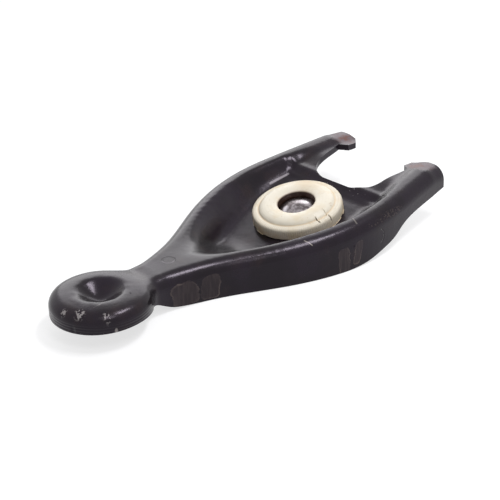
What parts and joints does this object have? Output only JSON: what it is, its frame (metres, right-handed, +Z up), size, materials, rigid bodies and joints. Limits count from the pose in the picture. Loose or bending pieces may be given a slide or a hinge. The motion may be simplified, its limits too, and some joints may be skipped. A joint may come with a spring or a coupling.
{
  "type": "clutch fork",
  "caption": "Pressed-steel clutch release fork with a dished pan, a push-rod dimple in its round head, fingers for the release bearing and a nylon ball bush with a steel cup.",
  "frame": {"origin": "on the resting plane, at the middle of the overall length and width", "axes": "+X along the lever from the push-rod head to the finger tips, +Y across it, +Z up out of the top face that the push rod and the release bearing touch"},
  "size_m": [0.2064, 0.0888, 0.0252],
  "materials": {
    "painted_steel": "semi-gloss",
    "nylon": "satin",
    "bright_steel": "satin"
  },
  "bodies": {
    "root": {"fork_arm": "painted_steel", "pivot_bush": "nylon", "ball_cup": "bright_steel"}
  },
  "joints": []
}
